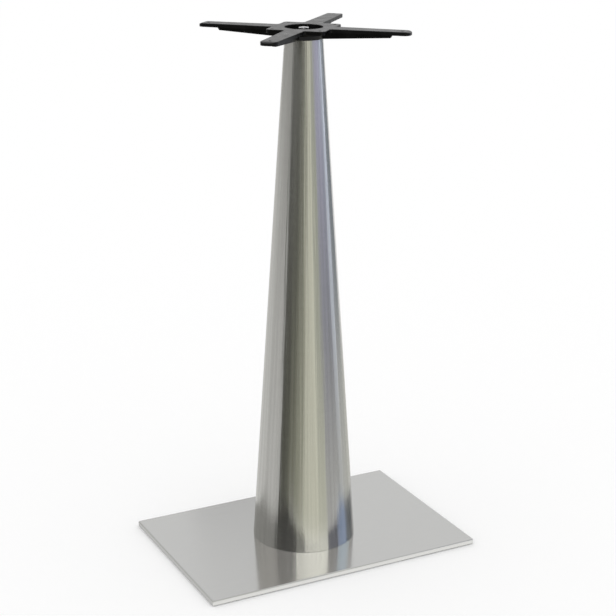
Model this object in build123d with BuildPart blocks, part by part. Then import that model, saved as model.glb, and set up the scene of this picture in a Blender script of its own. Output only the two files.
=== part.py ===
"""Bar table base: a conical steel column on a flat rectangular foot, with a cast cross for the table top.

Millimetres, +Z up. The origin is on the floor under the column's axis, X runs along the foot's long side.
One tie rod on the axis clamps cross, column and foot together.
"""

import os
from math import cos, hypot, radians, sin, tan

from build123d import *

# Overall height, from the floor to the flat top of the cross
TOTAL_HEIGHT = 1080.0

# Foot: a folded cover over a ballast plate that stands on four pads
BASE_LENGTH = 600.0
BASE_WIDTH = 400.0
COVER_SHEET = 1.2
COVER_FOLD_INSIDE = 0.8  # inside radius of the four long folds
COVER_CORNER_INSIDE = 1.2  # inside radius of the welded and ground corners
COVER_RIM_REACH = 0.8  # how far the cover's rim hangs below the ballast plate
BALLAST_THICKNESS = 8.0
BALLAST_CLEARANCE = 0.4  # between the ballast plate and the cover's rim
PAD_DIAMETER = 32.0
PAD_THICKNESS = 2.8
PAD_EDGE_BEVEL = 0.8
PAD_INSET = 40.0  # from the foot's edges to the pad's centre

# Column: a cone rolled from sheet
COLUMN_FOOT_DIAMETER = 214.0
COLUMN_HEAD_DIAMETER = 76.0
COLUMN_WALL = 1.5

# Anchor disc that centres the column's foot, and the screws that hold it down
DISC_THICKNESS = 8.0
DISC_CLEARANCE = 0.3  # between the disc's edge and the column
DISC_BOSS_DIAMETER = 36.0
DISC_BOSS_HEIGHT = 20.0
SCREW_COUNT = 4
SCREW_CIRCLE = 150.0
SCREW_DIAMETER = 8.0
SCREW_HEAD_DIAMETER = 16.0
SCREW_HEAD_ANGLE = 90.0
SCREW_SOCKET = 5.0  # across flats
SCREW_SOCKET_DEPTH = 2.6
SCREW_HOLE_CLEARANCE = 1.0
SCREW_HEAD_CLEARANCE = 0.2
SCREW_END_COVER = 1.0  # metal of the disc left above the screw's end
THREAD_FIT = 0.1  # extra diameter of a tapped hole over its thread

# Tie rod with its nuts and washer
ROD_DIAMETER = 12.0
ROD_END_CHAMFER = 1.2
ROD_FOOT_GAP = 2.0  # between the rod's lower end and the cover
ROD_STICK_OUT = 0.8  # thread showing above the top nut
NUT_ACROSS_FLATS = 19.0
NUT_HEIGHT = 10.0
NUT_CHAMFER_ANGLE = 30.0
WASHER_DIAMETER = 30.0
WASHER_THICKNESS = 2.5
ROD_HOLE_CLEARANCE = 1.0

# Cross: a square hub with four arms, flat on top, with a rib under each arm
CROSS_YAW = 45.0  # turn of the first arm from the foot's long side, in degrees
ARM_COUNT = 4
ARM_REACH = 213.5  # from the axis to an arm's tip
ARM_ROOT_WIDTH = 39.0
ARM_TIP_WIDTH = 33.0
ARM_TIP_ROUND = 13.0
ARM_ROOT_ROUND = 6.0
NOSE_LENGTH = 10.0  # over this length an arm's top curves down to its tip
NOSE_DROP = 3.0
HUB_SIDE = 118.0
HUB_CORNER_ROUND = 9.0
FLANGE_THICKNESS = 7.2
TOP_EDGE_ROUND = 1.5
TIP_TAB = 36.0  # length of the flat tab beyond the rib
RIB_THICKNESS = 8.0  # where the rib leaves the flange
RIB_TIP_DEPTH = 6.8  # how far the rib hangs below the flange at its outer end
RIB_END_SLOPE = 4.0  # how far that end leans back to the hub
RIB_DRAFT = 3.0  # slope of the rib's sides, in degrees
RECESS_DIAMETER = 75.0
RECESS_RIM_CHAMFER = 1.0
HUB_WALL = 5.0  # wall of the boss around the recess
HUB_FLOOR = 8.0  # floor of the recess, the nut pulls on it
SPIGOT_DEPTH = 12.0
SPIGOT_WALL = 4.0
SPIGOT_CLEARANCE = 0.3
NUT_BELOW_TOP = 1.2  # the nut stays under the table top
TOP_SCREW_HOLE = 6.5
TIP_HOLE_INSET = 17.0  # from an arm's tip to its screw hole
HUB_HOLE_INSET = 11.0  # from the hub's sides to the screw hole in its corner

# Levels, from the floor up
BALLAST_TOP = PAD_THICKNESS + BALLAST_THICKNESS
BASE_TOP = BALLAST_TOP + COVER_SHEET
COVER_RIM = PAD_THICKNESS - COVER_RIM_REACH
DISC_TOP = BASE_TOP + DISC_THICKNESS
DISC_BOSS_TOP = DISC_TOP + DISC_BOSS_HEIGHT
FLANGE_UNDERSIDE = TOTAL_HEIGHT - FLANGE_THICKNESS
TOP_NUT_SEAT = TOTAL_HEIGHT - NUT_BELOW_TOP - NUT_HEIGHT
RECESS_FLOOR = TOP_NUT_SEAT - WASHER_THICKNESS
COLUMN_TOP = RECESS_FLOOR - HUB_FLOOR
ROD_BOTTOM = BASE_TOP + ROD_FOOT_GAP
ROD_TOP = TOTAL_HEIGHT - NUT_BELOW_TOP + ROD_STICK_OUT

# Radii of the fits
COLUMN_FOOT_RADIUS = COLUMN_FOOT_DIAMETER / 2
COLUMN_HEAD_RADIUS = COLUMN_HEAD_DIAMETER / 2
COLUMN_SLOPE = (COLUMN_FOOT_RADIUS - COLUMN_HEAD_RADIUS) / (COLUMN_TOP - BASE_TOP)
COLUMN_WALL_ACROSS = COLUMN_WALL * hypot(1, COLUMN_SLOPE)
TAPPED_ROD_RADIUS = (ROD_DIAMETER + THREAD_FIT) / 2
CLEAR_ROD_RADIUS = (ROD_DIAMETER + ROD_HOLE_CLEARANCE) / 2
SCREW_RADIUS = SCREW_DIAMETER / 2
CLEAR_SCREW_RADIUS = (SCREW_DIAMETER + SCREW_HOLE_CLEARANCE) / 2
SCREW_HEAD_RADIUS = SCREW_HEAD_DIAMETER / 2
SCREW_HEAD_HEIGHT = (SCREW_HEAD_RADIUS - SCREW_RADIUS) / tan(radians(SCREW_HEAD_ANGLE / 2))
SPIGOT_RADIUS = COLUMN_HEAD_RADIUS - COLUMN_WALL_ACROSS - SPIGOT_CLEARANCE
RIB_END = ARM_REACH - TIP_TAB

os.makedirs("parts", exist_ok=True)


def column_inside(height):
    """Inner radius of the column at a height above the floor."""
    return COLUMN_FOOT_RADIUS - COLUMN_WALL_ACROSS - COLUMN_SLOPE * (height - BASE_TOP)


def axis_distance(vertex):
    """Distance of a sketch vertex from the cross's axis."""
    return hypot(vertex.X, vertex.Y)


def write(piece, name):
    """Label a finished piece and write it as its own file."""
    piece.part.label = name
    export_step(piece.part, f"parts/{name}.step")


# Foot pads: moulded rubber discs stuck under the ballast plate
pad_places = {
    "foot_pad_front_left": (-1, -1),
    "foot_pad_front_right": (1, -1),
    "foot_pad_rear_left": (-1, 1),
    "foot_pad_rear_right": (1, 1),
}
for pad_name, (side_x, side_y) in pad_places.items():
    pad_x = side_x * (BASE_LENGTH / 2 - PAD_INSET)
    pad_y = side_y * (BASE_WIDTH / 2 - PAD_INSET)
    with BuildPart() as foot_pad:
        with BuildSketch(Plane.XY):
            with Locations((pad_x, pad_y)):
                Circle(PAD_DIAMETER / 2)
        extrude(amount=PAD_THICKNESS)
        chamfer(foot_pad.edges().sort_by(Axis.Z)[0], PAD_EDGE_BEVEL)
    write(foot_pad, pad_name)

# Ballast plate: cut steel plate, countersunk from below for the disc screws
with BuildPart() as ballast_plate:
    ballast_margin = 2 * (COVER_SHEET + BALLAST_CLEARANCE)
    with BuildSketch(Plane.XY.offset(PAD_THICKNESS)):
        RectangleRounded(BASE_LENGTH - ballast_margin, BASE_WIDTH - ballast_margin, COVER_CORNER_INSIDE)
    extrude(amount=BALLAST_THICKNESS)
    chamfer(ballast_plate.faces().sort_by(Axis.Z)[-1].edges(), COVER_FOLD_INSIDE)
    with Locations(Plane(origin=(0, 0, PAD_THICKNESS), x_dir=(1, 0, 0), z_dir=(0, 0, -1))):
        with PolarLocations(SCREW_CIRCLE / 2, SCREW_COUNT):
            CounterSinkHole(
                radius=CLEAR_SCREW_RADIUS,
                counter_sink_radius=SCREW_HEAD_RADIUS + SCREW_HEAD_CLEARANCE / 2,
                counter_sink_angle=SCREW_HEAD_ANGLE,
            )
write(ballast_plate, "ballast_plate")

# Cover: one stainless sheet folded down on four sides, its corners welded and ground
with BuildPart() as base_cover:
    with BuildSketch(Plane.XY.offset(COVER_RIM)):
        RectangleRounded(BASE_LENGTH, BASE_WIDTH, COVER_CORNER_INSIDE + COVER_SHEET)
    extrude(amount=BASE_TOP - COVER_RIM)
    fillet(base_cover.faces().sort_by(Axis.Z)[-1].edges(), COVER_FOLD_INSIDE + COVER_SHEET)
    offset(amount=-COVER_SHEET, openings=base_cover.faces().sort_by(Axis.Z)[0])
    with Locations((0, 0, BASE_TOP)):
        with PolarLocations(SCREW_CIRCLE / 2, SCREW_COUNT):
            Hole(radius=CLEAR_SCREW_RADIUS)
write(base_cover, "base_cover")

# Anchor disc: turned steel, its edge follows the column's taper, its boss is tapped for the tie rod
with BuildPart() as anchor_disc:
    with BuildSketch(Plane.XZ):
        Polygon(
            (TAPPED_ROD_RADIUS, BASE_TOP),
            (column_inside(BASE_TOP) - DISC_CLEARANCE, BASE_TOP),
            (column_inside(DISC_TOP) - DISC_CLEARANCE, DISC_TOP),
            (DISC_BOSS_DIAMETER / 2, DISC_TOP),
            (DISC_BOSS_DIAMETER / 2, DISC_BOSS_TOP),
            (TAPPED_ROD_RADIUS, DISC_BOSS_TOP),
            align=None,
        )
    revolve(axis=Axis.Z)
    with Locations((0, 0, DISC_TOP)):
        with PolarLocations(SCREW_CIRCLE / 2, SCREW_COUNT):
            Hole(radius=SCREW_RADIUS + THREAD_FIT / 2)
write(anchor_disc, "anchor_disc")

# Disc screws: countersunk socket screws from below, flush with the ballast plate
with BuildPart() as disc_screw:
    with BuildSketch(Plane.XZ):
        Polygon(
            (0, PAD_THICKNESS),
            (SCREW_HEAD_RADIUS, PAD_THICKNESS),
            (SCREW_RADIUS, PAD_THICKNESS + SCREW_HEAD_HEIGHT),
            (SCREW_RADIUS, DISC_TOP - SCREW_END_COVER),
            (0, DISC_TOP - SCREW_END_COVER),
            align=None,
        )
    revolve(axis=Axis.Z)
    with BuildSketch(Plane.XY.offset(PAD_THICKNESS)):
        RegularPolygon(SCREW_SOCKET / 2, 6, major_radius=False)
    extrude(amount=SCREW_SOCKET_DEPTH, mode=Mode.SUBTRACT)

with BuildPart() as disc_screws:
    with PolarLocations(SCREW_CIRCLE / 2, SCREW_COUNT):
        add(disc_screw.part)
write(disc_screws, "disc_screws")

# Column: rolled cone with one welded seam, stands on the cover
with BuildPart() as column:
    with BuildSketch(Plane.XZ):
        Polygon(
            (column_inside(BASE_TOP), BASE_TOP),
            (COLUMN_FOOT_RADIUS, BASE_TOP),
            (COLUMN_HEAD_RADIUS, COLUMN_TOP),
            (column_inside(COLUMN_TOP), COLUMN_TOP),
            align=None,
        )
    revolve(axis=Axis.Z)
write(column, "column")

# Tie rod: steel bar, threaded at both ends
with BuildPart() as tie_rod:
    with BuildSketch(Plane.XY.offset(ROD_BOTTOM)):
        Circle(ROD_DIAMETER / 2)
    extrude(amount=ROD_TOP - ROD_BOTTOM)
    chamfer(tie_rod.edges().filter_by(GeomType.CIRCLE), ROD_END_CHAMFER)
write(tie_rod, "tie_rod")

# Nuts: the lower one locks the rod on the disc's boss, the upper one clamps the cross
for nut_name, nut_seat in (("lock_nut", DISC_BOSS_TOP), ("top_nut", TOP_NUT_SEAT)):
    nut_corner = NUT_ACROSS_FLATS / 2 / cos(radians(30))
    nut_bevel = (nut_corner - NUT_ACROSS_FLATS / 2) * tan(radians(NUT_CHAMFER_ANGLE))
    with BuildPart() as nut:
        with BuildSketch(Plane.XY.offset(nut_seat)):
            RegularPolygon(nut_corner, 6)
            Circle(TAPPED_ROD_RADIUS, mode=Mode.SUBTRACT)
        extrude(amount=NUT_HEIGHT)
        with BuildSketch(Plane.XZ):
            Polygon(
                (0, nut_seat),
                (NUT_ACROSS_FLATS / 2, nut_seat),
                (nut_corner, nut_seat + nut_bevel),
                (nut_corner, nut_seat + NUT_HEIGHT - nut_bevel),
                (NUT_ACROSS_FLATS / 2, nut_seat + NUT_HEIGHT),
                (0, nut_seat + NUT_HEIGHT),
                align=None,
            )
        revolve(axis=Axis.Z, mode=Mode.INTERSECT)
    write(nut, nut_name)

# Top washer: spreads the nut's pull over the floor of the recess
with BuildPart() as top_washer:
    with BuildSketch(Plane.XY.offset(RECESS_FLOOR)):
        Circle(WASHER_DIAMETER / 2)
        Circle(CLEAR_ROD_RADIUS, mode=Mode.SUBTRACT)
    extrude(amount=WASHER_THICKNESS)
write(top_washer, "top_washer")

# Cross: one casting, seated on the column's rim and centred by a spigot inside it
first_arm = (cos(radians(CROSS_YAW)), sin(radians(CROSS_YAW)), 0)
cross_top = Plane(origin=(0, 0, TOTAL_HEIGHT), x_dir=first_arm, z_dir=(0, 0, 1))
cross_side = Plane(origin=(0, 0, 0), x_dir=first_arm, z_dir=(first_arm[1], -first_arm[0], 0))
hub_half = HUB_SIDE / 2
hub_hole_spacing = HUB_SIDE - 2 * HUB_HOLE_INSET
boss_radius = RECESS_DIAMETER / 2 + HUB_WALL
tip_corner = hypot(ARM_REACH, ARM_TIP_WIDTH / 2)
with BuildPart() as cross:
    # Flange: the hub and the arms as one flat plate
    with BuildSketch(cross_top) as flange:
        Rectangle(HUB_SIDE, HUB_SIDE)
        with PolarLocations(0, ARM_COUNT):
            Polygon(
                (0, -ARM_ROOT_WIDTH / 2),
                (hub_half, -ARM_ROOT_WIDTH / 2),
                (ARM_REACH, -ARM_TIP_WIDTH / 2),
                (ARM_REACH, ARM_TIP_WIDTH / 2),
                (hub_half, ARM_ROOT_WIDTH / 2),
                (0, ARM_ROOT_WIDTH / 2),
                align=None,
            )
        fillet(flange.vertices().group_by(axis_distance)[-1], ARM_TIP_ROUND)
        fillet(flange.vertices().group_by(axis_distance)[1], HUB_CORNER_ROUND)
        fillet(flange.vertices().group_by(axis_distance)[0], ARM_ROOT_ROUND)
    extrude(amount=-FLANGE_THICKNESS)

    # Ribs: one drafted web under the middle of each arm
    with BuildSketch(cross_top.offset(-FLANGE_THICKNESS)):
        with PolarLocations(0, ARM_COUNT):
            Rectangle(ARM_REACH, RIB_THICKNESS, align=(Align.MIN, Align.CENTER))
    extrude(amount=COLUMN_TOP - FLANGE_UNDERSIDE, taper=RIB_DRAFT)

    # They get shallower from the column's rim outwards, and end in a slope short of the tip
    with BuildSketch(cross_side):
        Polygon(
            (COLUMN_HEAD_RADIUS, COLUMN_TOP),
            (tip_corner, COLUMN_TOP),
            (tip_corner, FLANGE_UNDERSIDE),
            (RIB_END, FLANGE_UNDERSIDE),
            (RIB_END - RIB_END_SLOPE, FLANGE_UNDERSIDE - RIB_TIP_DEPTH),
            align=None,
        )
    revolve(axis=Axis.Z, mode=Mode.SUBTRACT)

    # Noses: the flat top curves down at the tips of the arms
    with BuildSketch(cross_side):
        with BuildLine():
            nose = TangentArc(
                (ARM_REACH - NOSE_LENGTH, TOTAL_HEIGHT),
                (tip_corner, TOTAL_HEIGHT - NOSE_DROP),
                tangent=(1, 0),
            )
            Polyline(nose @ 1, (tip_corner, TOTAL_HEIGHT), nose @ 0)
        make_face()
    revolve(axis=Axis.Z, mode=Mode.SUBTRACT)
    top_edges = cross.edges().filter_by_position(Axis.Z, TOTAL_HEIGHT - NOSE_DROP, TOTAL_HEIGHT)
    nose_seams = top_edges.filter_by(GeomType.CIRCLE).filter_by(lambda edge: edge.radius > HUB_SIDE)
    fillet(top_edges.filter_by(Axis.Z, reverse=True) - nose_seams, TOP_EDGE_ROUND)

    # Boss under the hub, with the spigot that drops into the column
    with BuildSketch(cross_side):
        Polygon(
            (0, FLANGE_UNDERSIDE),
            (boss_radius, FLANGE_UNDERSIDE),
            (boss_radius, RECESS_FLOOR),
            (COLUMN_HEAD_RADIUS, COLUMN_TOP),
            (SPIGOT_RADIUS, COLUMN_TOP),
            (SPIGOT_RADIUS, COLUMN_TOP - SPIGOT_DEPTH),
            (SPIGOT_RADIUS - SPIGOT_WALL, COLUMN_TOP - SPIGOT_DEPTH),
            (SPIGOT_RADIUS - SPIGOT_WALL, COLUMN_TOP),
            (0, COLUMN_TOP),
            align=None,
        )
    revolve(axis=Axis.Z)

    # Recess for washer and nut, and the hole for the tie rod
    with BuildSketch(cross_top):
        Circle(RECESS_DIAMETER / 2)
    extrude(amount=RECESS_FLOOR - TOTAL_HEIGHT, mode=Mode.SUBTRACT)
    top_face = cross.faces().filter_by(Axis.Z).sort_by(Axis.Z)[-1]
    chamfer(top_face.inner_wires()[0].edges(), RECESS_RIM_CHAMFER)
    with Locations((0, 0, TOTAL_HEIGHT)):
        Hole(radius=CLEAR_ROD_RADIUS)

    # Screw holes for the table top, at the arms' tips and in the hub's corners
    with Locations(cross_top):
        with PolarLocations(ARM_REACH - TIP_HOLE_INSET, ARM_COUNT):
            Hole(radius=TOP_SCREW_HOLE / 2, depth=FLANGE_THICKNESS)
        with GridLocations(hub_hole_spacing, hub_hole_spacing, 2, 2):
            Hole(radius=TOP_SCREW_HOLE / 2, depth=FLANGE_THICKNESS)
write(cross, "cross")
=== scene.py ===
from math import ceil, cos, hypot, pi, radians, sin, tan

import bmesh
import bpy
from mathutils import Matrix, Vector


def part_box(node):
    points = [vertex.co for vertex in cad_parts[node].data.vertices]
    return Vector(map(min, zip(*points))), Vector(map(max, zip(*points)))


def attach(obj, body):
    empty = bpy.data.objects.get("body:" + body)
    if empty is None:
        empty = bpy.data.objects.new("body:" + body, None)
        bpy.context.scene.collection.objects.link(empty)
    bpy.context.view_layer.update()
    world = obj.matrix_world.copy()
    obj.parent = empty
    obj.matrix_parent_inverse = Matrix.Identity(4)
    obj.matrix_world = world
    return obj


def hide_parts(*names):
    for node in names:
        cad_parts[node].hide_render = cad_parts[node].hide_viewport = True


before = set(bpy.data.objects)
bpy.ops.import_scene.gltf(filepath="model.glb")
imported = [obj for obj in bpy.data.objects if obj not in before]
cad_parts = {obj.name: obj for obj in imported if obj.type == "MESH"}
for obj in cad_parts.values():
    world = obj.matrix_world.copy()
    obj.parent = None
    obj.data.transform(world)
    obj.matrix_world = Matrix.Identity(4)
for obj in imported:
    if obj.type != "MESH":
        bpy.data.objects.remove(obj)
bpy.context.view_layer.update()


# Foot pads: four discs of black rubber, glued under the corners of the ballast plate.
# Each is moulded with ring grooves in its tread, so that it grips a smooth floor.

PAD_NODES = ("foot_pad_front_left", "foot_pad_front_right", "foot_pad_rear_left", "foot_pad_rear_right")
GRIP_GROOVES = (0.0045, 0.0090)  # middle radius of each groove in the tread
GROOVE_WIDTH = 0.0016
GROOVE_DEPTH = 0.0006
PAD_EDGE = 0.0004
PAD_SIDES = 48
RUBBER = (0.028, 0.028, 0.029, 1)
RUBBER_DUSTY = (0.055, 0.053, 0.05, 1)
CORNER_POINTS = 3  # points on each rounded corner of a turned section
MERGE_WITHIN = 1e-6
SMOOTH_UP_TO = radians(12)  # edges that turn less than this are shaded smooth
NOISE_SPAN = (0.3, 0.7)  # nearly all values of a noise lie between these


def add_node(tree, kind, feeds=None, **settings):
    """Add a node, set its properties, and feed its inputs with values or other nodes' outputs."""
    made = tree.nodes.new(kind)
    for name, value in settings.items():
        setattr(made, name, value)
    for socket, feed in (feeds or {}).items():
        if isinstance(feed, bpy.types.NodeSocket):
            tree.links.new(feed, made.inputs[socket])
        else:
            made.inputs[socket].default_value = feed
    return made


def maths(tree, operation, *values):
    """One step of arithmetic in a node tree."""
    return add_node(tree, "ShaderNodeMath", dict(enumerate(values)), operation=operation).outputs[0]


def new_tree(name, kind, inputs, outputs):
    """An empty node group with named sockets, and the outputs of its Group Input node."""
    tree = bpy.data.node_groups.new(name, kind)
    for in_out, sockets in (("INPUT", inputs), ("OUTPUT", outputs)):
        for socket, socket_type in sockets.items():
            tree.interface.new_socket(socket, in_out=in_out, socket_type="NodeSocket" + socket_type)
    return tree, add_node(tree, "NodeGroupInput").outputs


def grid_to_wrap(tree, sides, rows):
    """A grid to wrap around the Z axis, with each point's share of a turn and its row."""
    columns = maths(tree, "ADD", sides, 1.0)
    grid = add_node(tree, "GeometryNodeMeshGrid", {"Vertices X": columns, "Vertices Y": rows}).outputs[0]
    index = add_node(tree, "GeometryNodeInputIndex").outputs[0]
    column = maths(tree, "FLOOR", maths(tree, "DIVIDE", index, rows))
    return grid, maths(tree, "DIVIDE", column, sides), maths(tree, "MODULO", index, rows)


def wrapped(tree, grid, radius, height, angle):
    """Wrap a grid around the Z axis, each point at its own radius, height and angle, and close it."""
    around_x = maths(tree, "MULTIPLY", radius, maths(tree, "SINE", angle))
    around_y = maths(tree, "MULTIPLY", radius, maths(tree, "COSINE", angle))
    place = add_node(tree, "ShaderNodeCombineXYZ", {0: around_x, 1: around_y, 2: height}).outputs[0]
    placed = add_node(tree, "GeometryNodeSetPosition", {"Geometry": grid, "Position": place}).outputs[0]
    merging = {"Geometry": placed, "Distance": MERGE_WITHIN}
    return add_node(tree, "GeometryNodeMergeByDistance", merging).outputs[0]


def finish_tree(tree, geometry, material, output):
    """The end of a geometry tree: real faces in one material."""
    real = add_node(tree, "GeometryNodeRealizeInstances", {"Geometry": geometry}).outputs[0]
    dressed = add_node(tree, "GeometryNodeSetMaterial", {"Geometry": real, "Material": material}).outputs[0]
    add_node(tree, "NodeGroupOutput", {output: dressed})


def turned_section_tree():
    """Geometry tree that turns a section, drawn in X and Z, once around the Z axis."""
    tree, given = new_tree(
        "Turned section",
        "GeometryNodeTree",
        {"Section": "Geometry", "Sides": "Int", "Corner Radius": "Float", "Finish": "Material"},
        {"Piece": "Geometry"},
    )
    sharp = add_node(tree, "GeometryNodeMeshToCurve", {"Mesh": given["Section"]}).outputs[0]
    rounding = {
        "Curve": sharp,
        "Count": CORNER_POINTS,
        "Radius": given["Corner Radius"],
        "Limit Radius": True,
    }
    rounded = add_node(tree, "GeometryNodeFilletCurve", rounding, mode="POLY").outputs[0]
    is_rounded = maths(tree, "GREATER_THAN", given["Corner Radius"], 0.0)
    choice = {"Switch": is_rounded, "False": sharp, "True": rounded}
    section = add_node(tree, "GeometryNodeSwitch", choice, input_type="GEOMETRY").outputs[0]

    def sampled(field, index, data_type, domain="POINT"):
        feeds = {"Geometry": section, "Value": field, "Index": index}
        return add_node(tree, "GeometryNodeSampleIndex", feeds, data_type=data_type, domain=domain).outputs[0]

    # One row of the grid for each point of the section, and one more where the section is a loop
    size = add_node(tree, "GeometryNodeAttributeDomainSize", {"Geometry": section}, component="CURVE")
    points = size.outputs["Point Count"]
    cyclic = add_node(tree, "GeometryNodeInputSplineCyclic").outputs[0]
    rows = maths(tree, "ADD", points, sampled(cyclic, 0, "BOOLEAN", "CURVE"))
    grid, turn, row = grid_to_wrap(tree, given["Sides"], rows)
    point = maths(tree, "MODULO", row, points)

    # The UV map unrolls the piece: metres along the section, and the share of a turn
    along = add_node(tree, "GeometryNodeSplineParameter").outputs["Length"]
    whole = add_node(tree, "GeometryNodeSplineLength").outputs["Length"]
    lengths = {
        "Switch": maths(tree, "GREATER_THAN", maths(tree, "ADD", row, 0.5), points),
        "False": sampled(along, point, "FLOAT"),
        "True": sampled(whole, 0, "FLOAT", "CURVE"),
    }
    length = add_node(tree, "GeometryNodeSwitch", lengths, input_type="FLOAT").outputs[0]
    unrolled = add_node(tree, "ShaderNodeCombineXYZ", {0: length, 1: turn}).outputs[0]
    on_points = {"Value": unrolled}
    unrolled = add_node(
        tree, "GeometryNodeFieldOnDomain", on_points, domain="POINT", data_type="FLOAT_VECTOR"
    ).outputs[0]
    naming = {"Geometry": grid, "Name": "UVMap", "Value": unrolled}
    mapped = add_node(
        tree, "GeometryNodeStoreNamedAttribute", naming, data_type="FLOAT2", domain="CORNER"
    ).outputs[0]

    position = add_node(tree, "GeometryNodeInputPosition").outputs[0]
    place = add_node(tree, "ShaderNodeSeparateXYZ", {0: sampled(position, point, "FLOAT_VECTOR")}).outputs
    turned = wrapped(tree, mapped, place["X"], place["Z"], maths(tree, "MULTIPLY", turn, 2 * pi))
    finish_tree(tree, turned, given["Finish"], "Piece")
    return tree


def run_tree(piece, tree, values):
    """Run a geometry tree on a piece and keep the result as its plain mesh."""
    modifier = piece.modifiers.new(tree.name, "NODES")
    modifier.node_group = tree
    for item in tree.interface.items_tree:
        if item.in_out == "INPUT" and item.name in values:
            modifier[item.identifier] = values[item.name]
    evaluated = piece.evaluated_get(bpy.context.evaluated_depsgraph_get())
    mesh = bpy.data.meshes.new_from_object(evaluated)
    piece.modifiers.remove(modifier)
    piece.data = mesh


def face_outwards(mesh):
    """Turn all faces outwards and shade the gentle edges smooth."""
    work = bmesh.new()
    work.from_mesh(mesh)
    bmesh.ops.recalc_face_normals(work, faces=work.faces)
    work.to_mesh(mesh)
    work.free()
    mesh.shade_smooth()
    mesh.set_sharp_from_angle(angle=SMOOTH_UP_TO)


turned_section = turned_section_tree()


def turned_piece(name, section, is_loop, sides, corner_radius, finish):
    """A turned piece from the points of its section, each a radius and a height."""
    outline = bpy.data.meshes.new(name)
    edges = [(point, point + 1) for point in range(len(section) - 1)]
    if is_loop:
        edges.append((len(section) - 1, 0))
    outline.from_pydata([(radius, 0, height) for radius, height in section], edges, [])
    piece = bpy.data.objects.new(name, outline)
    bpy.context.scene.collection.objects.link(piece)
    values = {"Sides": sides, "Corner Radius": corner_radius, "Finish": finish}
    run_tree(piece, turned_section, values)
    face_outwards(piece.data)
    return piece


def surface(name, **constants):
    """A material, its node tree, and its shader with the sockets set that are the same all over."""
    material = bpy.data.materials.new(name)
    material.use_nodes = True
    shader = material.node_tree.nodes["Principled BSDF"]
    for socket, value in constants.items():
        shader.inputs[socket.replace("_", " ")].default_value = value
    return material, material.node_tree, shader


def mottle_group():
    """Shader group for skins that aren't even: soft blotches and a fine grain, both from 0 to 1."""
    tree, given = new_tree(
        "Mottled skin",
        "ShaderNodeTree",
        {"Place": "Vector", "Blotch Size": "Float", "Grain Size": "Float"},
        {"Blotches": "Float", "Grain": "Float"},
    )
    results = {}
    for output, size, detail in (("Blotches", "Blotch Size", 3.0), ("Grain", "Grain Size", 2.0)):
        scale = maths(tree, "DIVIDE", 1.0, given[size])
        feeds = {"Vector": given["Place"], "Scale": scale, "Detail": detail}
        results[output] = add_node(tree, "ShaderNodeTexNoise", feeds).outputs[0]
    add_node(tree, "NodeGroupOutput", results)
    return tree


mottled_skin = mottle_group()


def place_group(tree, group, **feeds):
    """Place a shader group in a material, feed its inputs, and give its outputs."""
    named = {socket.replace("_", " "): feed for socket, feed in feeds.items()}
    return add_node(tree, "ShaderNodeGroup", named, node_tree=group).outputs


def own_place(tree):
    """Object coordinates, in metres."""
    return add_node(tree, "ShaderNodeTexCoord").outputs["Object"]


def between(tree, share, low, high, span=NOISE_SPAN):
    """Take a share that runs over a span to values from low to high."""
    start, end = span
    feeds = {"Value": share, "From Min": start, "From Max": end, "To Min": low, "To Max": high}
    return add_node(tree, "ShaderNodeMapRange", feeds).outputs[0]


def blend_colours(tree, share, first, second):
    """Mix two colours by a share from 0 to 1."""
    return add_node(tree, "ShaderNodeMix", {0: share, 6: first, 7: second}, data_type="RGBA").outputs[2]


def bump(tree, height, strength, depth, beneath=None):
    """A normal from a height between 0 and 1 that stands for a depth in metres, on a normal beneath."""
    feeds = {"Height": height, "Strength": strength, "Distance": depth}
    if beneath is not None:
        feeds["Normal"] = beneath
    return add_node(tree, "ShaderNodeBump", feeds).outputs[0]


def mottled_surface(
    name,
    colours,
    colour_span,
    roughness,
    blotch_size,
    grain_size,
    grain_depth,
    grain_strength,
    roughened_by="Blotches",
    **constants,
):
    """A finish of two colours in soft blotches, roughened by them or by its own fine grain."""
    material, tree, shader = surface(name, **constants)
    skin = place_group(
        tree, mottled_skin, Place=own_place(tree), Blotch_Size=blotch_size, Grain_Size=grain_size
    )
    share = between(tree, skin["Blotches"], 0.0, 1.0, colour_span)
    tree.links.new(blend_colours(tree, share, *colours), shader.inputs["Base Color"])
    tree.links.new(between(tree, skin[roughened_by], *roughness), shader.inputs["Roughness"])
    tree.links.new(bump(tree, skin["Grain"], grain_strength, grain_depth), shader.inputs["Normal"])
    return material


def pad_rubber():
    """Matt rubber with some dust on it."""
    return mottled_surface(
        "pad_rubber",
        colours=(RUBBER, RUBBER_DUSTY),
        colour_span=(0.45, 0.8),
        roughness=(0.62, 0.8),
        blotch_size=0.012,
        grain_size=0.0005,
        grain_depth=0.0001,
        grain_strength=0.3,
        Specular_IOR_Level=0.3,
    )


def pads_at_corners_tree():
    """Geometry tree that sets one pad at each corner of a rectangle around the axis."""
    tree, given = new_tree(
        "Pads at corners",
        "GeometryNodeTree",
        {"Pad": "Geometry", "Length Apart": "Float", "Width Apart": "Float", "Finish": "Material"},
        {"Pads": "Geometry"},
    )
    spread = {"Size X": given["Length Apart"], "Size Y": given["Width Apart"]}
    counts = {"Vertices X": 2, "Vertices Y": 2}
    corners = add_node(tree, "GeometryNodeMeshGrid", spread | counts).outputs[0]
    setting = {"Points": corners, "Instance": given["Pad"]}
    pads = add_node(tree, "GeometryNodeInstanceOnPoints", setting).outputs[0]
    finish_tree(tree, pads, given["Finish"], "Pads")
    return tree


def pad_section(radius, thickness):
    """Half section of a pad, from the middle of its grooved tread round to the middle of its top."""
    points = [(0, 0)]
    for groove in GRIP_GROOVES:
        inner = groove - GROOVE_WIDTH / 2
        outer = groove + GROOVE_WIDTH / 2
        points += [(inner, 0), (inner, GROOVE_DEPTH), (outer, GROOVE_DEPTH), (outer, 0)]
    return points + [(radius, 0), (radius, thickness), (0, thickness)]


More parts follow.
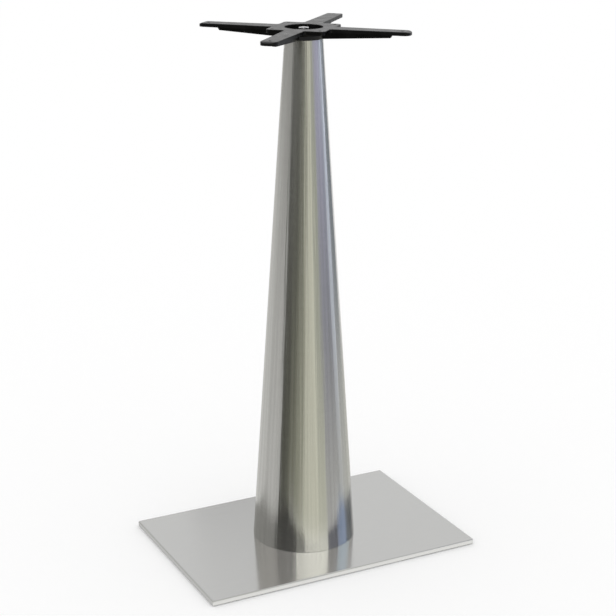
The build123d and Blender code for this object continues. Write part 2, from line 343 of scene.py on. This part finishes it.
pad_low, pad_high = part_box("foot_pad_rear_right")
pad_middle = (pad_low + pad_high) / 2
rubber = pad_rubber()
foot_pads = turned_piece(
    "foot_pads",
    pad_section((pad_high.x - pad_low.x) / 2, pad_high.z),
    is_loop=False,
    sides=PAD_SIDES,
    corner_radius=PAD_EDGE,
    finish=rubber,
)
pad_spread = {"Length Apart": 2 * pad_middle.x, "Width Apart": 2 * pad_middle.y, "Finish": rubber}
run_tree(foot_pads, pads_at_corners_tree(), pad_spread)
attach(foot_pads, "root")
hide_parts(*PAD_NODES)


# Ballast plate: a heavy steel plate, flame cut and dipped in thin dark primer.
# It lies hidden in the cover, and four countersunk screws pass up through it.

PRIMER = (0.045, 0.045, 0.05, 1)
PRIMER_THIN = (0.085, 0.082, 0.08, 1)


def dress(node, material):
    """Give a solid of the frame its finish."""
    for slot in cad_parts[node].material_slots:
        slot.material = material


def ballast_primer():
    """Dull primer, thinner in places, on the grain of the plate."""
    return mottled_surface(
        "ballast_primer",
        colours=(PRIMER, PRIMER_THIN),
        colour_span=(0.4, 0.75),
        roughness=(0.5, 0.7),
        blotch_size=0.045,
        grain_size=0.0012,
        grain_depth=0.0002,
        grain_strength=0.35,
        roughened_by="Grain",
        Specular_IOR_Level=0.4,
    )


dress("ballast_plate", ballast_primer())


# Base cover: one sheet of stainless steel, folded down on four sides over the ballast plate.
# Its corners are welded and ground flush, and its face is ground to a satin along the long side.

SATIN = (0.485, 0.485, 0.475, 1)
SATIN_BRIGHT = (0.525, 0.525, 0.515, 1)
SATIN_ROUGHNESS = (0.13, 0.18)
SATIN_STROKE_LENGTH = 0.05
STROKE_WIDTH = 0.0005
STROKE_DEPTH = 0.0001
STROKE_STRENGTH = 0.025


def grain_group():
    """Shader group for ground steel: fine strokes along the first axis of a place in metres."""
    tree, given = new_tree(
        "Brushed grain",
        "ShaderNodeTree",
        {"Place": "Vector", "Stroke Length": "Float", "Stroke Width": "Float"},
        {"Strokes": "Float"},
    )
    place = add_node(tree, "ShaderNodeSeparateXYZ", {0: given["Place"]}).outputs
    along = maths(tree, "DIVIDE", place["X"], given["Stroke Length"])
    across = maths(tree, "DIVIDE", place["Y"], given["Stroke Width"])
    deep = maths(tree, "DIVIDE", place["Z"], given["Stroke Width"])
    stretched = add_node(tree, "ShaderNodeCombineXYZ", {0: along, 1: across, 2: deep}).outputs[0]
    noise = {"Vector": stretched, "Scale": 1.0, "Detail": 2.0}
    strokes = add_node(tree, "ShaderNodeTexNoise", noise).outputs[0]
    add_node(tree, "NodeGroupOutput", {"Strokes": strokes})
    return tree


brushed_grain = grain_group()


def satin_stainless():
    """Bright steel with fine strokes along the cover, which spread its mirror images across them."""
    material, tree, shader = surface("satin_stainless", Metallic=1.0, Anisotropic=0.8)
    grain = place_group(
        tree,
        brushed_grain,
        Place=own_place(tree),
        Stroke_Length=SATIN_STROKE_LENGTH,
        Stroke_Width=STROKE_WIDTH,
    )
    share = between(tree, grain["Strokes"], 0.0, 1.0)
    tree.links.new(blend_colours(tree, share, SATIN, SATIN_BRIGHT), shader.inputs["Base Color"])
    tree.links.new(between(tree, grain["Strokes"], *SATIN_ROUGHNESS), shader.inputs["Roughness"])
    normal = bump(tree, grain["Strokes"], STROKE_STRENGTH, STROKE_DEPTH)
    tree.links.new(normal, shader.inputs["Normal"])
    across = add_node(tree, "ShaderNodeTangent", direction_type="RADIAL", axis="X").outputs[0]
    tree.links.new(across, shader.inputs["Tangent"])
    return material


dress("base_cover", satin_stainless())


# Anchor disc: a steel disc turned on a lathe, with a tapped boss for the tie rod.
# It is screwed down on the cover and centres the foot of the column.

TURNED = (0.46, 0.45, 0.44, 1)
TURNED_BRIGHT = (0.54, 0.53, 0.52, 1)
TURNED_ROUGHNESS = (0.28, 0.42)
RING_LENGTH = 1.0  # the tool's rings have no ends, so that any length will do
RING_STRENGTH = 0.2


def turned_steel():
    """Plain steel with the rings that the lathe's tool left around the axis."""
    material, tree, shader = surface("turned_steel", Metallic=1.0)
    place = add_node(tree, "ShaderNodeSeparateXYZ", {0: own_place(tree)}).outputs
    flat = add_node(tree, "ShaderNodeCombineXYZ", {0: place["X"], 1: place["Y"]}).outputs[0]
    radius = add_node(tree, "ShaderNodeVectorMath", {0: flat}, operation="LENGTH").outputs["Value"]
    rings = add_node(tree, "ShaderNodeCombineXYZ", {0: 0.0, 1: radius, 2: place["Z"]}).outputs[0]
    grain = place_group(
        tree, brushed_grain, Place=rings, Stroke_Length=RING_LENGTH, Stroke_Width=STROKE_WIDTH
    )
    tree.links.new(blend_colours(tree, grain["Strokes"], TURNED, TURNED_BRIGHT), shader.inputs["Base Color"])
    tree.links.new(between(tree, grain["Strokes"], *TURNED_ROUGHNESS), shader.inputs["Roughness"])
    tree.links.new(bump(tree, grain["Strokes"], RING_STRENGTH, STROKE_DEPTH), shader.inputs["Normal"])
    return material


dress("anchor_disc", turned_steel())


# Disc screws: four countersunk socket screws, cold headed and zinc plated.
# They come from below through ballast plate and cover, and draw the anchor disc down.

ZINC = (0.60, 0.605, 0.61, 1)
ZINC_DULL = (0.50, 0.50, 0.50, 1)


def zinc_plate():
    """Bright zinc that has gone dull in small blotches."""
    return mottled_surface(
        "zinc_plate",
        colours=(ZINC, ZINC_DULL),
        colour_span=(0.4, 0.75),
        roughness=(0.2, 0.34),
        blotch_size=0.004,
        grain_size=0.0006,
        grain_depth=0.0001,
        grain_strength=0.08,
        Metallic=1.0,
    )


zinc = zinc_plate()
dress("disc_screws", zinc)


# Column: a cone rolled from stainless steel sheet, with one welded and ground seam at the rear.
# It was brushed round and round on a belt, so that it mirrors the room in upright bands.

COLUMN_SIDES = 256
COLUMN_EDGE = 0.0004
STEEL = (0.51, 0.505, 0.49, 1)
STEEL_BRIGHT = (0.65, 0.645, 0.63, 1)
STEEL_ROUGHNESS = (0.19, 0.23)
STEEL_STROKE_LENGTH = 0.04
SEAM_SHARE = 0.006  # half of the ground seam, as a share of the way around
SEAM_ROUGHNESS = 0.06  # how much rougher the ground seam is
ROLL_LINE_WIDTH = 0.006  # the rolls left faint upright lines in the sheet
ROLL_LINE_DEPTH = 0.0006
ROLL_LINE_STRENGTH = 0.8
ROLL_LINE_DRIFT = 0.01  # how fast the lines change along the column, compared with across them
ROLL_LINE_TONE = 0.6  # share of the lines in the steel's tone, the rest comes from the strokes


def ring_radii(node, height):
    """Inner and outer radius of a round solid at the height of one of its ends."""
    corners = [vertex.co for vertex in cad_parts[node].data.vertices]
    radii = [hypot(place.x, place.y) for place in corners if abs(place.z - height) < MERGE_WITHIN]
    return min(radii), max(radii)


def brushed_stainless(girth):
    """Bright steel with fine strokes around the column, over faint upright lines and the seam."""
    material, tree, shader = surface("brushed_stainless", Metallic=1.0, Anisotropic=0.8)
    unrolled = add_node(tree, "ShaderNodeUVMap", uv_map="UVMap").outputs[0]
    place = add_node(tree, "ShaderNodeSeparateXYZ", {0: unrolled}).outputs
    around = maths(tree, "MULTIPLY", place["Y"], girth)
    brushed = add_node(tree, "ShaderNodeCombineXYZ", {0: around, 1: place["X"]}).outputs[0]
    grain = place_group(
        tree, brushed_grain, Place=brushed, Stroke_Length=STEEL_STROKE_LENGTH, Stroke_Width=STROKE_WIDTH
    )
    drift = maths(tree, "MULTIPLY", place["X"], ROLL_LINE_DRIFT)
    upright = add_node(tree, "ShaderNodeCombineXYZ", {0: around, 1: drift}).outputs[0]
    noise = {"Vector": upright, "Scale": 1 / ROLL_LINE_WIDTH, "Detail": 3.0}
    rolled = add_node(tree, "ShaderNodeTexNoise", noise).outputs[0]
    from_front = maths(tree, "ABSOLUTE", maths(tree, "SUBTRACT", place["Y"], 0.5))
    seam = between(tree, from_front, 0.0, 1.0, (0.5 - SEAM_SHARE, 0.5))

    lines = between(tree, rolled, 0.0, ROLL_LINE_TONE)
    strokes = between(tree, grain["Strokes"], 0.0, 1 - ROLL_LINE_TONE)
    tone = maths(tree, "SUBTRACT", maths(tree, "ADD", lines, strokes), seam)
    tree.links.new(blend_colours(tree, tone, STEEL, STEEL_BRIGHT), shader.inputs["Base Color"])
    ground = maths(tree, "MULTIPLY", seam, SEAM_ROUGHNESS)
    rough = maths(tree, "ADD", between(tree, grain["Strokes"], *STEEL_ROUGHNESS), ground)
    tree.links.new(rough, shader.inputs["Roughness"])
    sheet = bump(tree, rolled, ROLL_LINE_STRENGTH, ROLL_LINE_DEPTH)
    normal = bump(tree, grain["Strokes"], STROKE_STRENGTH, STROKE_DEPTH, sheet)
    tree.links.new(normal, shader.inputs["Normal"])
    along = add_node(tree, "ShaderNodeTangent", direction_type="UV_MAP", uv_map="UVMap").outputs[0]
    tree.links.new(along, shader.inputs["Tangent"])
    return material


column_low, column_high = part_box("column")
foot_inside, foot_outside = ring_radii("column", column_low.z)
head_inside, head_outside = ring_radii("column", column_high.z)
column_girth = pi * (foot_outside + head_outside)  # around the column at half its height
column_section = [
    (foot_inside, column_low.z),
    (foot_outside, column_low.z),
    (head_outside, column_high.z),
    (head_inside, column_high.z),
]
column = turned_piece(
    "column_shell",
    column_section,
    is_loop=True,
    sides=COLUMN_SIDES,
    corner_radius=COLUMN_EDGE,
    finish=brushed_stainless(column_girth),
)
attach(column, "root")
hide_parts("column")


# Tie rod: a steel bar with a thread rolled on both ends, zinc plated.
# It is screwed into the anchor disc and pulls the cross down on the column.

THREAD_PITCH = 0.00175
THREAD_DEPTH = 0.00107
THREAD_LENGTH = 0.045
CREST_SHARE = 1 / 8  # width of the flat crest, as a share of the pitch
ROOT_SHARE = 1 / 4
RUN_OUT_TURNS = 2.0  # the thread gets shallower over its last turns
ROWS_PER_TURN = 4.0  # both edges of the crest, then both edges of the root
ROD_END_BEVEL = 0.0013
ROD_SIDES = 48


def threaded_rod_tree():
    """Geometry tree for a rod with a screw thread at both ends, its rows following the helix."""
    lengths = ("Radius", "Low", "High", "Pitch", "Depth", "Thread Length", "End Bevel")
    tree, given = new_tree(
        "Threaded rod",
        "GeometryNodeTree",
        {**dict.fromkeys(lengths, "Float"), "Sides": "Int", "Finish": "Material"},
        {"Rod": "Geometry"},
    )

    def clamped(value, low, high):
        return add_node(tree, "ShaderNodeClamp", {"Value": value, "Min": low, "Max": high}).outputs[0]

    def pick(switch, if_true, if_false):
        choice = {"Factor": switch, "A": if_false, "B": if_true}
        return add_node(tree, "ShaderNodeMix", choice, data_type="FLOAT").outputs[0]

    # Each end has the rows of its turns and of one turn more, in which the helix climbs, and a last row.
    # One row at the middle of each end closes it.
    turns = maths(tree, "CEIL", maths(tree, "DIVIDE", given["Thread Length"], given["Pitch"]))
    rows_at_end = maths(tree, "MULTIPLY_ADD", maths(tree, "ADD", turns, 1.0), ROWS_PER_TURN, 1.0)
    rows = maths(tree, "MULTIPLY_ADD", rows_at_end, 2.0, 2.0)
    grid, turn, row = grid_to_wrap(tree, given["Sides"], rows)
    thread_row = maths(tree, "SUBTRACT", row, 1.0)
    is_upper = maths(tree, "GREATER_THAN", maths(tree, "ADD", thread_row, 0.5), rows_at_end)
    thread_row = maths(tree, "SUBTRACT", thread_row, maths(tree, "MULTIPLY", is_upper, rows_at_end))

    # The rows of a turn lie at the edges of the crest and of the root, between two equal flanks
    step = maths(tree, "MODULO", maths(tree, "ADD", thread_row, ROWS_PER_TURN), ROWS_PER_TURN)
    is_root = maths(tree, "GREATER_THAN", step, 1.5)
    root_start = CREST_SHARE + (1 - CREST_SHARE - ROOT_SHARE) / 2
    crest_share = maths(tree, "MULTIPLY", step, CREST_SHARE)
    root_share = maths(tree, "MULTIPLY_ADD", step, ROOT_SHARE, root_start - 2 * ROOT_SHARE)
    share = pick(is_root, root_share, crest_share)
    whole = maths(tree, "FLOOR", maths(tree, "DIVIDE", thread_row, ROWS_PER_TURN))
    climbed = maths(tree, "SUBTRACT", maths(tree, "ADD", maths(tree, "ADD", whole, share), turn), 1.0)
    climbed = clamped(maths(tree, "MULTIPLY", climbed, given["Pitch"]), 0.0, given["Thread Length"])
    upper_start = maths(tree, "SUBTRACT", given["High"], given["Thread Length"])
    start = pick(is_upper, upper_start, given["Low"])
    height = clamped(maths(tree, "ADD", start, climbed), given["Low"], given["High"])

    # The thread runs out into the plain shank, and each end is bevelled to below the root
    from_end = maths(
        tree,
        "MINIMUM",
        maths(tree, "SUBTRACT", height, given["Low"]),
        maths(tree, "SUBTRACT", given["High"], height),
    )
    to_shank = maths(tree, "SUBTRACT", given["Thread Length"], from_end)
    run_out_length = maths(tree, "MULTIPLY", given["Pitch"], RUN_OUT_TURNS)
    run_out = clamped(maths(tree, "DIVIDE", to_shank, run_out_length), 0.0, 1.0)
    depth = maths(tree, "MULTIPLY", maths(tree, "MULTIPLY", is_root, run_out), given["Depth"])
    threaded = maths(tree, "SUBTRACT", given["Radius"], depth)
    bevelled = maths(tree, "SUBTRACT", maths(tree, "ADD", given["Radius"], from_end), given["End Bevel"])
    radius = maths(tree, "MINIMUM", threaded, bevelled)

    # The first and the last row lie on the axis
    is_first = maths(tree, "LESS_THAN", row, 0.5)
    is_last = maths(tree, "GREATER_THAN", row, maths(tree, "SUBTRACT", rows, 1.5))
    radius = pick(maths(tree, "ADD", is_first, is_last), 0.0, radius)
    height = pick(is_first, given["Low"], pick(is_last, given["High"], height))

    # Seen from above, the helix climbs counter-clockwise, so that the thread is right-handed
    rod = wrapped(tree, grid, radius, height, maths(tree, "MULTIPLY", turn, -2 * pi))
    finish_tree(tree, rod, given["Finish"], "Rod")
    return tree


rod_low, rod_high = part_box("tie_rod")
tie_rod = bpy.data.objects.new("threaded_rod", bpy.data.meshes.new("threaded_rod"))
bpy.context.scene.collection.objects.link(tie_rod)
rod_values = {
    "Radius": (rod_high.x - rod_low.x) / 2,
    "Low": rod_low.z,
    "High": rod_high.z,
    "Pitch": THREAD_PITCH,
    "Depth": THREAD_DEPTH,
    "Thread Length": THREAD_LENGTH,
    "End Bevel": ROD_END_BEVEL,
    "Sides": ROD_SIDES,
    "Finish": zinc,
}
run_tree(tie_rod, threaded_rod_tree(), rod_values)
face_outwards(tie_rod.data)
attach(tie_rod, "root")
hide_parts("tie_rod")


# Lock nut: a hexagon nut, cold formed and zinc plated.
# Tightened down on the disc's boss, it keeps the tie rod from turning loose.

dress("lock_nut", zinc)


# Cross: one iron casting with a square hub and four ribbed arms, dipped in satin black paint.
# Its boss sits on the column's rim, and the table top is screwed to its flat arms.

BLACK_PAINT = (0.003, 0.003, 0.003, 1)
BLACK_PAINT_WORN = (0.006, 0.006, 0.006, 1)


def cast_black():
    """Black paint on the skin of an iron casting, a little worn in places."""
    return mottled_surface(
        "cast_black",
        colours=(BLACK_PAINT, BLACK_PAINT_WORN),
        colour_span=(0.4, 0.8),
        roughness=(0.26, 0.34),
        blotch_size=0.02,
        grain_size=0.0014,
        grain_depth=0.0003,
        grain_strength=0.25,
        Specular_IOR_Level=0.15,
    )


dress("cross", cast_black())


# Top washer: a stamped steel ring with rolled-over edges, zinc plated.
# It lies on the floor of the hub's recess and spreads the load of the nut.

WASHER_EDGE = 0.0005
WASHER_SIDES = 96

washer_low, washer_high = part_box("top_washer")
washer_inside, washer_outside = ring_radii("top_washer", washer_low.z)
washer_section = [
    (washer_inside, washer_low.z),
    (washer_outside, washer_low.z),
    (washer_outside, washer_high.z),
    (washer_inside, washer_high.z),
]
washer = turned_piece(
    "washer_ring",
    washer_section,
    is_loop=True,
    sides=WASHER_SIDES,
    corner_radius=WASHER_EDGE,
    finish=zinc,
)
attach(washer, "root")
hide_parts("top_washer")


# Top nut: a bevelled hexagon nut, cold formed and zinc plated.
# Turned down on the washer it clamps cross, column and foot together.

dress("top_nut", zinc)


# Camera: it stands in front of the long side, some way to the left, and higher than the cross.
# It looks down on the base through a long lens, from about three times the base's height away.

CAMERA_AZIMUTH = -26.853  # degrees around the axis, to the left of the front
CAMERA_DISTANCE = 3.034  # from the column's axis, level
CAMERA_HEIGHT = 1.5006
CAMERA_PITCH = 18.079  # degrees below the level
CAMERA_LENS = 91.55  # focal length in millimetres
CAMERA_SHIFT = 0.0068  # as a share of the picture's width

camera_data = bpy.data.cameras.new("camera")
camera_data.lens = CAMERA_LENS
camera_data.shift_x = CAMERA_SHIFT
camera = bpy.data.objects.new("camera", camera_data)
camera_turn = radians(CAMERA_AZIMUTH)
camera.location = (CAMERA_DISTANCE * sin(camera_turn), -CAMERA_DISTANCE * cos(camera_turn), CAMERA_HEIGHT)
camera.rotation_euler = (radians(90 - CAMERA_PITCH), 0, camera_turn)
bpy.context.scene.collection.objects.link(camera)
bpy.context.scene.camera = camera


# Studio: a pale floor in even white light, and around it the walls, flags and window of the room.
# These are glowing panels that show only as mirror images, mostly in the steel: the camera doesn't
# see them, and they throw neither light nor shadow on what is matt.

FLOOR_SIZE = 40.0
FLOOR_COLOUR = (1.0, 1.0, 1.0, 1)
ONE_FACE = [(0, 1, 2, 3)]  # the corners of a rectangle, in turn
PANEL_RADIUS = 12.0
PANEL_APART = 0.05  # each panel hangs this much in front of the one before it
PANEL_STEP = 4  # degrees between the edges of a panel's faces
APRON_REACH = 0.03  # how far around the foot the steel mirrors the apron, a glowing sheet in the floor's place
APRON_LIFT = 0.0002  # each apron lies this much above what is under it
APRON_COLOUR = (0.85, 0.85, 0.84)
# The apron's strip in front glows brighter than white: a painted reflection that lightens the cover's front
# side
APRON_FRONT_COLOUR = (1.4, 1.4, 1.38)

# Each panel: its start and end in degrees from the camera, to the right, how far it leans over to
# the right at its top, its lower and upper edge in degrees above the level, and its light
PANELS = {
    "warm_panel": (-40, 66, 0, -45, 15, (0.82, 0.82, 0.68)),
    "camera_side": (-115, -31, 57, -45, 15, (0.36, 0.365, 0.28)),
    "dark_flag": (-150, -66, 103, -30, 15, (0.06, 0.06, 0.045)),
    "curtain_edge": (-115, -54, 68, -10, 15, (0.12, 0.12, 0.11)),
    "left_wall": (-180, -63, 0, -45, -3, (0.72, 0.72, 0.70)),
    "left_curtain": (-150, -63, 0, -3, 15, (0.42, 0.42, 0.40)),
    "warm_shade": (36, 60, 0, -15, 15, (0.45, 0.47, 0.40)),
    "right_wall": (56, 180, 0, -45, -15, (0.66, 0.66, 0.61)),
    "lilac_wall": (54, 90, 0, -5, 15, (0.56, 0.56, 0.74)),
    "cool_window": (88, 112, 0, -15, 15, (0.60, 0.65, 0.80)),
    "window_edge": (108, 115, -20, -14, -5, (0.80, 0.85, 0.88)),
    "window_glint": (102, 110, 0, -6, 15, (1.3, 1.4, 1.65)),
    "grey_wall": (56, 95, 0, -15, -5, (0.19, 0.20, 0.24)),
    "right_shade": (112, 145, 0, -14, 15, (0.25, 0.28, 0.31)),
    "rear_corner": (-179, -174, 0, 17, 25, (0.60, 0.60, 0.60)),
}

# The upper panels have their own light only where one steel piece mirrors them in another
UPPER_PLAIN = (0.85, 0.85, 0.84)
UPPER_PANELS = {
    "upper_wall": (-170, 150, 0, 15, 27, (0.60, 0.60, 0.58)),
    "key_panel": (4, 56, 0, 15, 27, (1.95, 1.95, 1.8)),
    "upper_window": (86, 112, 0, 15, 27, (0.42, 0.58, 0.95)),
    "upper_corner": (112, 150, 0, 15, 27, (0.18, 0.19, 0.21)),
    "high_wall": (-170, 150, 0, 27, 42, (1.20, 1.16, 1.12)),
    "upper_left": (-170, -68, 0, 15, 31, (0.50, 0.50, 0.48)),
    "upper_flag": (-68, 1, 0, 15, 34, (0.01, 0.01, 0.01)),
    "upper_shade": (56, 86, 0, 15, 31, (0.12, 0.13, 0.14)),
    "high_key": (-20, 58, 0, 27, 42, (2.7, 2.7, 2.5)),
    "high_window": (90, 135, 0, 27, 42, (1.35, 1.5, 1.6)),
}


def studio_sheet(name, points, faces, material):
    """A flat or curved sheet of the studio, which is no piece of the object."""
    mesh = bpy.data.meshes.new(name)
    mesh.from_pydata(points, [], faces)
    mesh.materials.append(material)
    sheet = bpy.data.objects.new(name, mesh)
    bpy.context.scene.collection.objects.link(sheet)
    return sheet


def show_only_in_mirrors(name, points, faces, once, twice):
    """A glowing sheet that only mirrors see, with its light for one mirror and for two."""
    material = bpy.data.materials.new(name)
    material.use_nodes = True
    tree = material.node_tree
    tree.nodes.clear()
    mirrors = add_node(tree, "ShaderNodeLightPath").outputs["Glossy Depth"]
    is_twice = maths(tree, "GREATER_THAN", mirrors, 1.0)
    light = blend_colours(tree, is_twice, (*once, 1), (*twice, 1))
    glow = add_node(tree, "ShaderNodeEmission", {"Color": light})
    add_node(tree, "ShaderNodeOutputMaterial", {"Surface": glow.outputs[0]})
    sheet = studio_sheet(name, points, faces, material)
    sheet.visible_camera = False
    sheet.visible_diffuse = False
    sheet.visible_shadow = False


def studio_panel(name, radius, start, end, lean, low, high, once, twice):
    """A curved panel around the column, from one bearing and height angle to another."""
    steps = ceil((end - start) / PANEL_STEP)
    levels = ceil((high - low) / PANEL_STEP)
    points = []
    for level in range(levels + 1):
        share = level / levels
        height = radius * tan(radians(low + (high - low) * share))
        for step in range(steps + 1):
            turn = radians(CAMERA_AZIMUTH + start + lean * share + (end - start) * step / steps)
            points.append((radius * sin(turn), -radius * cos(turn), height))
    row = steps + 1
    corners = [level * row + step for level in range(levels) for step in range(steps)]
    faces = [(corner, corner + 1, corner + row + 1, corner + row) for corner in corners]
    show_only_in_mirrors(name, points, faces, once, twice)


def rectangle(half_length, half_width, height):
    """The four corners of a level rectangle around the axis."""
    ways = ((-1, -1), (1, -1), (1, 1), (-1, 1))
    return [(half_length * along, half_width * across, height) for along, across in ways]


for number, (panel_name, (*panel_edges, light)) in enumerate((PANELS | UPPER_PANELS).items()):
    panel_radius = PANEL_RADIUS - PANEL_APART * number
    first_light = UPPER_PLAIN if panel_name in UPPER_PANELS else light
    studio_panel(panel_name, panel_radius, *panel_edges, first_light, light)

cover_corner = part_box("base_cover")[1]
apron_corners = rectangle(cover_corner.x + APRON_REACH, cover_corner.y + APRON_REACH, APRON_LIFT)
show_only_in_mirrors("apron", apron_corners, ONE_FACE, APRON_COLOUR, APRON_COLOUR)
# In front of the cover the apron glows brighter than white, a painted reflection on the cover's front side
front_corners = [(along, min(across, -cover_corner.y), 2 * APRON_LIFT) for along, across, _ in apron_corners]
show_only_in_mirrors("apron_front", front_corners, ONE_FACE, APRON_FRONT_COLOUR, APRON_FRONT_COLOUR)

floor_material = surface("floor", Base_Color=FLOOR_COLOUR, Roughness=1.0, Specular_IOR_Level=0.0)[0]
floor = studio_sheet("floor", rectangle(FLOOR_SIZE / 2, FLOOR_SIZE / 2, 0), ONE_FACE, floor_material)
floor.visible_glossy = False

world = bpy.data.worlds.new("studio")
world.use_nodes = True
world.node_tree.nodes["Background"].inputs["Color"].default_value = (1, 1, 1, 1)
world.node_tree.nodes["Background"].inputs["Strength"].default_value = 1.0
bpy.context.scene.world = world
bpy.context.scene.view_settings.view_transform = "Standard"
